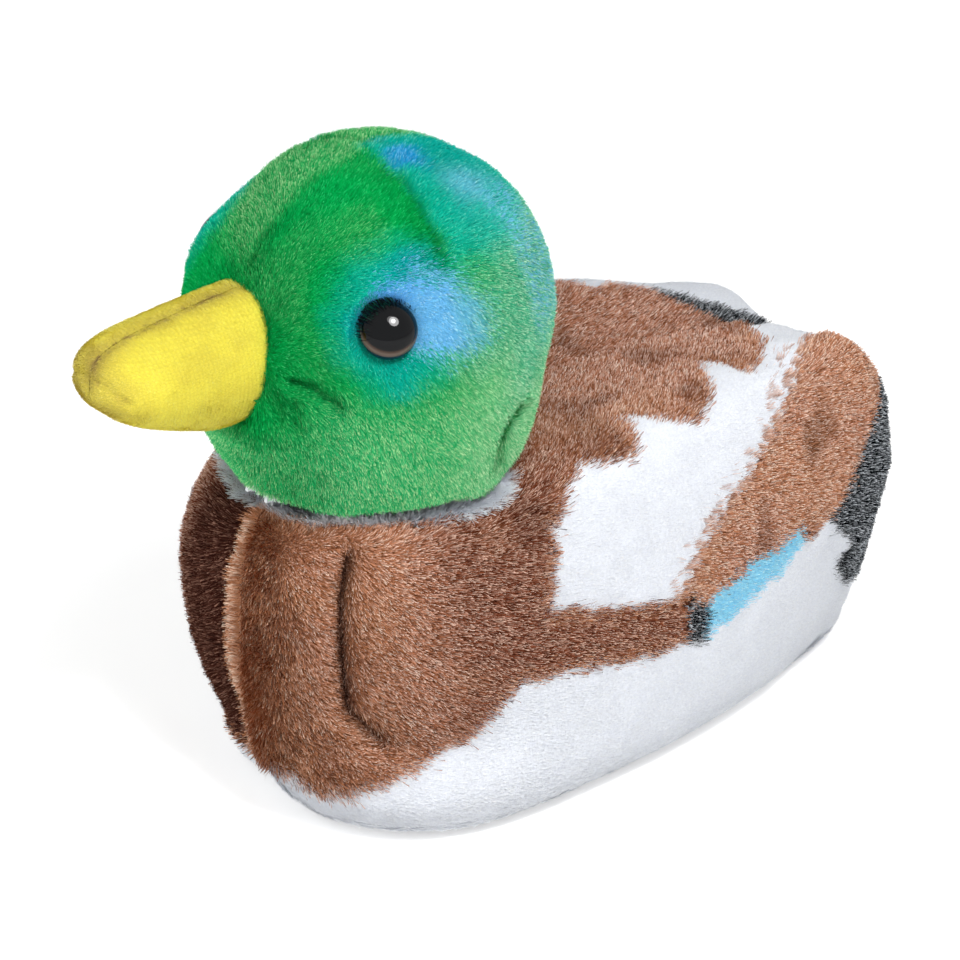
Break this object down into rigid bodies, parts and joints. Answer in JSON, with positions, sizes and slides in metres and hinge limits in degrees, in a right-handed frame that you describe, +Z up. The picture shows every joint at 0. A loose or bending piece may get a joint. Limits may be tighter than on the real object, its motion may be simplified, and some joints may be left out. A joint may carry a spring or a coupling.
{
  "type": "plush duck",
  "caption": "Small sewn plush mallard drake with safety eyes, a stuffed bill and a bean pouch, sitting flat on its base panel.",
  "frame": {"origin": "on the floor below the middle of the bounding box, at the middle of the base panel's width", "axes": "+Z up, the duck faces -Y, its left side is at +X"},
  "size_m": [0.066, 0.1356, 0.0987],
  "materials": {
    "body_pile": "short silky pile, printed brown, white, black and light blue",
    "base_pile": "short silky white pile",
    "head_pile": "short silky green pile with teal and blue areas",
    "bill_pile": "very short yellow pile",
    "eye": "polished",
    "washer": "moulded",
    "filling": "loose polyester fibre",
    "pouch_cloth": "plain woven",
    "beans": "loose pellets"
  },
  "bodies": {
    "root": {"body_left_panel": "body_pile", "body_right_panel": "body_pile", "base_panel": "base_pile", "head_left_panel": "head_pile", "head_right_panel": "head_pile", "bill_left_panel": "bill_pile", "bill_right_panel": "bill_pile", "eye_left": "eye", "eye_right": "eye", "eye_left_washer": "washer", "eye_right_washer": "washer", "body_filling": "filling", "head_filling": "filling", "bill_filling": "filling", "bean_pouch_top": "pouch_cloth", "bean_pouch_bottom": "pouch_cloth", "beans": "beans"}
  },
  "joints": []
}
